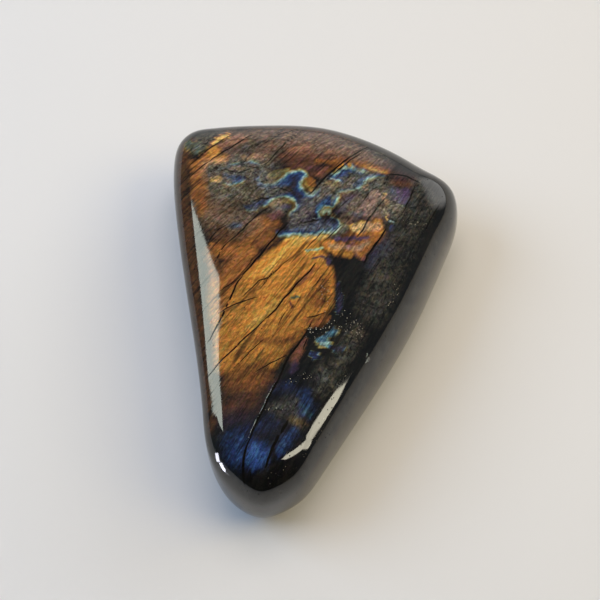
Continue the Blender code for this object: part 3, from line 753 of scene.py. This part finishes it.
# The other colours of the stone (linear light).
WHITE = (1, 1, 1, 1)
DARK_BODY, BROWN_BODY = (0.0045, 0.0045, 0.0045, 1), (0.012, 0.011, 0.009, 1)
TAN_HAZE, GREY_HAZE = (0.150, 0.132, 0.096, 1), (0.118, 0.126, 0.122, 1)
WARM_IN_HAZE, COOL_IN_HAZE = (0.52, 0.40, 0.30, 1), (0.15, 0.17, 0.20, 1)
WALL_MOTTLING = (0.048, 0.050, 0.044, 1)
VEIN, PALE_LINE = (0.005, 0.004, 0.003, 1), (0.34, 0.40, 0.40, 1)
# painted shade and painted light for the two sides of a wrinkle
WRINKLE_SHADE, WRINKLE_LIGHT = (0.006, 0.006, 0.005, 1), (0.24, 0.23, 0.18, 1)
# black pit dots, and pale specks that are partly the stone's grain and partly painted glints
PIT, PALE_SPECK_GLINT = (0.003, 0.003, 0.003, 1), (0.62, 0.58, 0.48, 1)

FAN_PIVOT = (70.8, 103.9, 0.0)  # the far point that the cleavage fans out from
FAN_RADIUS = 125.0  # how far off that point is from the middle of the stone

# The cleavage's steps, shown as painted shade and painted light as if each step were lit from one side: their
# waves per millimetre across and along, how dark the painted shade on a dark side is and how pale the painted
# light on a lit one. A side is dark or lit by how its height differs from the height one STEP_SHIFT away.
STEP_SHADES = ((1.2, 0.55, 0.58, 1.44), (3.2, 1.3, 0.70, 1.32))
STEP_SHIFT = (0.42, 0.16, 0.0)

# The play of colour: a noise's colour from the first value to the second becomes the third to the fourth.
PLAY_RANGE = [(value,) * 3 for value in (0.3, 0.7, 0.84, 1.18)]
PLAY_SOCKETS = (7, 8, 9, 10)  # where a Map Range of vectors takes those four

STONE_IOR = 1.56
BUMP_STRENGTH, BUMP_HEIGHT = 0.25, 0.007 * MM


class Nodes:
    """Adds shader nodes to a material or a world, which starts empty, and joins them up."""

    def __init__(self, owner):
        owner.use_nodes = True
        self.tree = owner.node_tree
        self.tree.nodes.clear()

    def add(self, kind, inputs=None, **settings):
        node = self.tree.nodes.new("ShaderNode" + kind)
        for name, value in settings.items():
            setattr(node, name, value)
        for name, value in (inputs or {}).items():
            if isinstance(value, bpy.types.NodeSocket):
                self.tree.links.new(value, node.inputs[name])
            else:
                node.inputs[name].default_value = value
        return node

    def math(self, operation, *values):
        """What the operation makes of the values, which it takes two at a time."""
        while True:
            node = self.add("Math", dict(enumerate(values[:2])), operation=operation)
            values = (node.outputs[0], *values[2:])
            if len(values) == 1:
                return values[0]

    def times(self, *values):
        return self.math("MULTIPLY", *values)

    def plus(self, *values):
        return self.math("ADD", *values)

    def minus(self, *values):
        return self.math("SUBTRACT", *values)

    def larger(self, *values):
        return self.math("MAXIMUM", *values)

    def fade(self, value, start, end, low=0.0, high=1.0):
        """Goes smoothly from low to high as value goes from start to end."""
        inputs = {"Value": value, "From Min": start, "From Max": end, "To Min": low, "To Max": high}
        return self.add("MapRange", inputs, interpolation_type="SMOOTHSTEP").outputs["Result"]

    def noise(self, vector, scale, detail=2.0, roughness=0.5, distortion=0.0, output="Fac"):
        inputs = {"Vector": vector, "Scale": scale, "Detail": detail, "Roughness": roughness}
        inputs["Distortion"] = distortion
        return self.add("TexNoise", inputs).outputs[output]

    def mix(self, share, a, b, blend="MIX"):
        return self.add("Mix", {0: share, 6: a, 7: b}, data_type="RGBA", blend_type=blend).outputs[2]

    def painted(self, name):
        """The three values of an attribute of the skin."""
        values = self.add("Attribute", attribute_name=name).outputs["Vector"]
        return self.add("SeparateXYZ", {0: values}).outputs

    def facing(self, vector, towards):
        """The cosine of the angle between a vector and a direction."""
        return self.add("VectorMath", {0: vector, 1: towards}, operation="DOT_PRODUCT").outputs["Value"]


def fan_places(nodes, place):
    """Places across and along the stone's cleavage, which fans out from one far point."""
    slanted = nodes.add("VectorMath", {0: place, 1: FAN_PIVOT}, operation="SUBTRACT").outputs[0]
    x, y, z = nodes.add("SeparateXYZ", {0: slanted}).outputs
    across = nodes.times(nodes.math("ARCTAN2", y, x), FAN_RADIUS)
    reach = nodes.math("SQRT", nodes.plus(nodes.times(x, x), nodes.times(y, y)))
    return across, reach, z


def stretched(nodes, fan, *waves):
    """The fan's places for a noise with this many waves per millimetre across, along and in depth."""
    inputs = {i: nodes.times(fan[i], waves[i]) for i in range(3)}
    return nodes.add("CombineXYZ", inputs).outputs[0]


def line_strength(nodes, name):
    """1 on the lines of the attribute and 0 off them."""
    side, gap, _ = nodes.painted(name)
    on_line = nodes.fade(nodes.math("ABSOLUTE", side), 0.7, 1.4, 1, 0)
    close = nodes.fade(gap, CRACK_REACH * 0.8, CRACK_REACH, 1, 0)
    return nodes.times(on_line, close)


def flash_colour(nodes, hue):
    """The colour that the flash has at a hue."""
    ramp = nodes.add("ValToRGB", {"Fac": hue})
    stops = ramp.color_ramp.elements
    for place, colour in FLASH_COLOURS:
        stops.new(place).color = (*colour, 1)
    stops.remove(stops[0])
    stops.remove(stops[-1])
    return ramp.outputs["Color"]


def stone_material():
    material = bpy.data.materials.new("polished_labradorite")
    nodes = Nodes(material)
    place = nodes.add("TexCoord").outputs["Object"]
    place = nodes.add("VectorMath", {0: place, "Scale": 1 / MM}, operation="SCALE").outputs[0]
    fan = fan_places(nodes, place)

    def streaks(across, along, depth, *settings, **output):
        return nodes.noise(stretched(nodes, fan, across, along, depth), 1.0, *settings, **output)

    # broad and fine strokes along the cleavage
    broad = streaks(0.55, 0.10, 0.2, 3.0, 0.6, 0.3)
    strokes = streaks(1.9, 0.34, 0.3, 3.0, 0.65, 0.5)
    grain = streaks(5.0, 1.6, 1.0, 2.0, 0.6, 0.5)
    crumple = nodes.noise(place, 0.8, 4.0, 0.62, 1.2)
    blots = nodes.noise(place, 0.45, 3.0, 0.6, 0.6)

    # what is painted on the skin, where face is 1 on the face and 0 down the walls
    flash = nodes.add("Attribute", attribute_name="flash")
    layers = nodes.add("SeparateColor", {"Color": flash.outputs["Color"]}).outputs
    warm_hue, warm_glow, cool_hue, cool_glow = *layers, flash.outputs["Alpha"]
    hazy, pitted, face = nodes.painted("ground")
    veins = nodes.larger(line_strength(nodes, "veins"), line_strength(nodes, "side_veins"))
    pale = nodes.times(line_strength(nodes, "pale_lines"), nodes.fade(crumple, 0.4, 0.6))

    # hairlines along the cleavage, where a noise passes its middle
    def hairlines(noise_there, half_width, faded_out):
        off_middle = nodes.math("ABSOLUTE", nodes.minus(noise_there, 0.5))
        return nodes.fade(off_middle, half_width, faded_out, 1, 0)

    coarse = hairlines(streaks(0.42, 0.018, 0.05, 2.0, 0.5, 0.15), 0.008, 0.034)
    fine = hairlines(streaks(1.5, 0.06, 0.10, 2.0, 0.55, 0.1), 0.01, 0.055)
    shown = nodes.fade(streaks(0.3, 0.14, 0.1), 0.34, 0.54)
    hair = nodes.times(nodes.larger(nodes.times(fine, 0.6), nodes.times(coarse, 0.9)), shown)
    hair = nodes.times(hair, nodes.fade(face, 0.0, 0.6, 0.2, 1.0), nodes.fade(hazy, 0.2, 0.8, 1.0, 0.45))

    # the hue wavers along the strokes
    sway = nodes.plus(
        nodes.times(nodes.minus(strokes, 0.5), 0.24),
        nodes.times(nodes.minus(crumple, 0.5), 0.12),
    )
    warm = flash_colour(nodes, nodes.plus(warm_hue, sway))
    cool = flash_colour(nodes, nodes.plus(cool_hue, nodes.times(sway, 0.6)))

    # in the haze the flash is paler
    paler = nodes.fade(hazy, 0.2, 1.0, 0.0, 0.42)
    warm = nodes.mix(paler, warm, WARM_IN_HAZE)
    cool = nodes.mix(nodes.times(paler, 0.7), cool, COOL_IN_HAZE)

    # the glow breaks up along the strokes and is cut by the lines
    cut = nodes.larger(nodes.times(hair, 0.85), veins)
    lift = nodes.times(
        nodes.fade(strokes, 0.28, 0.72, 0.78, 1.22),
        nodes.fade(grain, 0.25, 0.75, 0.72, 1.28),
        nodes.fade(crumple, 0.3, 0.7, 0.7, 1.3),
        nodes.minus(1, cut),
    )

    # the dark stone itself, mottled on the walls, with its paler haze in crumpled patches
    body = nodes.mix(nodes.fade(broad, 0.35, 0.65), DARK_BODY, BROWN_BODY)
    mottling = nodes.times(nodes.fade(blots, 0.38, 0.64), nodes.fade(face, 0.0, 0.7, 0.5, 0.0))
    body = nodes.mix(mottling, body, WALL_MOTTLING)
    haze = nodes.times(
        hazy,
        nodes.fade(crumple, 0.32, 0.68, 0.1, 1.4),
        nodes.fade(strokes, 0.3, 0.7, 0.75, 1.2),
    )
    body = nodes.mix(haze, body, nodes.mix(nodes.fade(blots, 0.4, 0.6), TAN_HAZE, GREY_HAZE))
    body = nodes.mix(nodes.times(cut, 0.85), body, VEIN)
    base = nodes.mix(nodes.times(warm_glow, lift), body, warm)
    base = nodes.mix(nodes.times(cool_glow, lift), base, cool)

    # wrinkles in the haze, each with painted shade on one side and painted light on the other, as if lit from
    # one side
    wrinkles = nodes.noise(place, 0.42, 3.0, 0.6, 1.6)

    def wrinkle_shading(start, whole, fading, end, strength):
        inside = nodes.times(nodes.fade(wrinkles, start, whole), nodes.fade(wrinkles, fading, end, 1, 0))
        return nodes.times(inside, nodes.fade(hazy, 0.5, 0.95, 0, strength))

    base = nodes.mix(wrinkle_shading(0.455, 0.475, 0.485, 0.500, 0.75), base, WRINKLE_SHADE)
    base = nodes.mix(wrinkle_shading(0.492, 0.505, 0.515, 0.535, 0.45), base, WRINKLE_LIGHT)
    base = nodes.mix(nodes.times(pale, 0.75), base, PALE_LINE)

    # the cleavage's steps, each with painted light on a lit side and painted shade on a dark side as if lit
    # from one side, and a little play of colour
    share = nodes.times(face, nodes.fade(hazy, 0.0, 0.8, 0.55, 0.9))
    for across, along, dark, light in STEP_SHADES:
        here = stretched(nodes, fan, across, along, 0.3)
        beside = nodes.add("VectorMath", {0: here, 1: STEP_SHIFT}, operation="ADD").outputs[0]
        step = nodes.minus(*[nodes.noise(there, 1.0, 2.0, 0.6, 0.4) for there in (here, beside)])
        step = nodes.mix(share, WHITE, nodes.fade(step, -0.16, 0.16, dark, light))
        base = nodes.mix(1.0, base, step, "MULTIPLY")
    play = nodes.add(
        "MapRange",
        {"Vector": streaks(2.3, 0.8, 0.8, 3.0, output="Color"), **dict(zip(PLAY_SOCKETS, PLAY_RANGE))},
        data_type="FLOAT_VECTOR",
    ).outputs["Vector"]
    base = nodes.mix(1.0, base, nodes.mix(face, WHITE, play), "MULTIPLY")

    # pits: black dots, thick in places, with a few pale specks among them, partly pale grain of the stone and
    # partly painted glints where it sparkles
    def dots(scale, channel, limit, full, end=0.34):
        cells = nodes.add("TexVoronoi", {"Vector": place, "Scale": scale, "Randomness": 1.0})
        colour = nodes.add("SeparateColor", {"Color": cells.outputs["Color"]}).outputs
        kept = nodes.math("GREATER_THAN", colour[channel], limit)
        return nodes.times(kept, nodes.fade(cells.outputs["Distance"], full, end, 1, 0))

    pits = dots(2.2, 0, nodes.fade(pitted, 0.0, 1.0, 0.972, 0.35), 0.22)
    specks_and_glints = dots(3.1, 1, nodes.fade(pitted, 0.0, 1.0, 1.0, 0.70), 0.20)
    base = nodes.mix(pits, base, PIT)
    base = nodes.mix(nodes.times(specks_and_glints, pitted), base, PALE_SPECK_GLINT)

    height = nodes.plus(nodes.times(cut, -1.0), nodes.times(pits, -2.0), nodes.times(blots, 0.4))
    bump = nodes.add("Bump", {"Strength": BUMP_STRENGTH, "Distance": BUMP_HEIGHT, "Height": height})
    dull = nodes.larger(pits, nodes.larger(nodes.times(hair, 0.3), nodes.times(veins, 0.7)))
    inputs = {"Base Color": base, "IOR": STONE_IOR, "Normal": bump.outputs["Normal"]}
    inputs["Specular IOR Level"] = nodes.fade(dull, 0.0, 1.0, 0.5, 0.05)
    inputs["Roughness"] = nodes.larger(nodes.fade(blots, 0.3, 0.7, 0.035, 0.06), nodes.times(pits, 0.6))
    shader = nodes.add("BsdfPrincipled", inputs)
    nodes.add("OutputMaterial", {"Surface": shader.outputs["BSDF"]})
    return material


# ---------------------------------------------------------------- camera, floor and light

CAMERA_TARGET = Vector((-3.4, 3.3, 13.0)) * MM
CAMERA_ELEVATION = math.radians(68)
CAMERA_DISTANCE = 310.0 * MM
CAMERA_LENS = 85.0

FLOOR_SIDE = 8.0
FLOOR_GAP = 0.05 * MM
FLOOR_COLOUR = (0.785, 0.80, 0.85, 1)
FLOOR_ROUGHNESS, FLOOR_SHINE = 0.9, 0.2

# The lamps light by scattered light alone: where from (azimuth clockwise from +Y, elevation), how far
# off in metres, how large, how bright in watts and what colour.
Lamp = namedtuple("Lamp", "name azimuth elevation distance size power colour")
LAMPS = [
    Lamp("overhead_lamp", 0, 74, 0.5, 0.3, 0.88, (1.0, 0.85, 0.68)),
    Lamp("left_lamp", -78, 42, 0.9, 0.55, 4.0, (0.71, 0.84, 1.0)),
    Lamp("right_lamp", 88, 47, 0.9, 0.5, 2.85, (1.0, 0.77, 0.37)),
]

# The windows are what the polish mirrors. Each is an upright pane beside the stone: how far off it is
# along X, how bright it is, its colour, and its corners as (y, z), with the places in metres.
Window = namedtuple("Window", "name x strength colour corners")
WINDOWS = rows_of(
    Window,
    ("left_window", -0.6, 6.9, (0.91, 1, 0.91),
     (0.37, 0.45), (0.44, 0.74), (0.49, 0.96), (0.53, 1.15), (0.59, 1.37), (0.36, 1.08), (0.11, 0.65),
     (-0.035, 0.6), (0.065, 0.43), (0.07, 0.185), (0.115, 0.29), (0.18, 0.39), (0.25, 0.44), (0.32, 0.46)),
    ("right_window", 0.6, 9.5, (1, 0.94, 0.74),
     (-0.185, 0.18), (-0.19, 0.34), (-0.21, 0.41), (-0.24, 0.51), (-0.38, 0.81), (-0.55, 1.12),
     (-0.78, 1.35), (-0.66, 1), (-0.36, 0.51), (-0.3, 0.41), (-0.25, 0.31), (-0.23, 0.15), (-0.205, 0.12)),
    ("upper_tip_lamp", -0.06, 18, (0.86, 0.86, 1),
     (-0.0495, 0.015), (-0.054, 0.0255), (-0.059, 0.0125), (-0.054, 0.0015)),
    ("lower_tip_lamp", -0.06, 22, (0.86, 0.86, 1),
     (-0.0575, 0.0065), (-0.0615, 0.0165), (-0.0655, 0.0035), (-0.061, 0.0005)),
)


def direction(azimuth, elevation):
    """Unit vector towards a place seen from the stone, azimuth clockwise from +Y, in degrees."""
    a, e = math.radians(azimuth), math.radians(elevation)
    return Vector((math.sin(a) * math.cos(e), math.cos(a) * math.cos(e), math.sin(e)))


def flat_mesh(name, corners):
    mesh = bpy.data.meshes.new(name)
    mesh.from_pydata(corners, [], [tuple(range(len(corners)))])
    return mesh


def add_camera():
    data = bpy.data.cameras.new("camera")
    data.lens = CAMERA_LENS
    camera = link(bpy.data.objects.new("camera", data))
    camera.location = CAMERA_TARGET + direction(180, math.degrees(CAMERA_ELEVATION)) * CAMERA_DISTANCE
    camera.rotation_euler = (math.pi / 2 - CAMERA_ELEVATION, 0, 0)
    bpy.context.scene.camera = camera


def add_floor():
    half = FLOOR_SIDE / 2
    corners = [(x, y, -FLOOR_GAP) for x, y in ((-half, -half), (half, -half), (half, half), (-half, half))]
    mesh = flat_mesh("floor", corners)
    material = bpy.data.materials.new("pale_paper")
    material.use_nodes = True
    shader = material.node_tree.nodes["Principled BSDF"]
    shader.inputs["Base Color"].default_value = FLOOR_COLOUR
    shader.inputs["Roughness"].default_value = FLOOR_ROUGHNESS
    shader.inputs["Specular IOR Level"].default_value = FLOOR_SHINE
    mesh.materials.append(material)
    link(bpy.data.objects.new("floor", mesh))


def add_lamps():
    for lamp in LAMPS:
        data = bpy.data.lights.new(lamp.name, "AREA")
        data.size = lamp.size
        data.energy = lamp.power
        data.color = lamp.colour
        light = link(bpy.data.objects.new(lamp.name, data))
        towards = direction(lamp.azimuth, lamp.elevation)
        light.location = towards * lamp.distance
        light.rotation_euler = towards.to_track_quat("Z", "Y").to_euler()
        light.visible_glossy = False


def add_windows():
    for window in WINDOWS:
        mesh = flat_mesh(window.name, [(window.x, y, z) for y, z in window.corners])
        material = bpy.data.materials.new(window.name)
        nodes = Nodes(material)
        glow = nodes.add("Emission", {"Color": (*window.colour, 1), "Strength": window.strength})
        nodes.add("OutputMaterial", {"Surface": glow.outputs["Emission"]})
        material.cycles.emission_sampling = "NONE"
        mesh.materials.append(material)
        pane = link(bpy.data.objects.new(window.name, mesh))
        pane.visible_camera = False
        pane.visible_diffuse = False
        pane.visible_shadow = False


# The room is dim, with pale places in it: where each is, how wide (as cosines) and how bright.
PaleWall = namedtuple("PaleWall", "azimuth elevation edge middle strength")
PALE_WALLS = [PaleWall(-5, 12, 0.78, 0.98, 0.9), PaleWall(50, 14, 0.86, 0.97, 2.1)]
ROOM_COLOUR = (0.105, 0.13, 0.155, 1)
WALL_COLOUR = (1.0, 0.98, 0.94, 1)
DARKEST_PLACE = (180, 15)  # azimuth and elevation


def set_world():
    world = bpy.data.worlds.new("room")
    nodes = Nodes(world)
    towards = nodes.add("TexCoord").outputs["Generated"]
    pale = []
    for wall in PALE_WALLS:
        facing = nodes.facing(towards, direction(wall.azimuth, wall.elevation))
        pale.append(nodes.fade(facing, wall.edge, wall.middle, 0, wall.strength))
    dim = nodes.facing(towards, direction(*DARKEST_PLACE))
    room = nodes.add("Background", {"Color": ROOM_COLOUR, "Strength": nodes.fade(dim, 0.2, 0.8, 1.0, 0.2)})
    walls = nodes.add("Background", {"Color": WALL_COLOUR, "Strength": nodes.larger(*pale)})
    both = nodes.add("AddShader", {0: room.outputs[0], 1: walls.outputs[0]})
    nodes.add("OutputWorld", {"Surface": both.outputs[0]})
    bpy.context.scene.world = world


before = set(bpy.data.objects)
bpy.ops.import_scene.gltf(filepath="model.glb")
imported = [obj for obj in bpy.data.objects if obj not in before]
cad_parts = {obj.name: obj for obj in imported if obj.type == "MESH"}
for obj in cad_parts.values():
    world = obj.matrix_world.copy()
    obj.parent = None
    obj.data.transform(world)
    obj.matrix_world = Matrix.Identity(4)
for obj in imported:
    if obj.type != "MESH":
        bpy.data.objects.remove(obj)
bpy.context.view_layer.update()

stone = make_stone()
stone.data.materials.append(stone_material())
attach(stone, "root")
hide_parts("stone")

add_camera()
add_floor()
add_lamps()
add_windows()
set_world()
bpy.context.scene.view_settings.view_transform = "Standard"
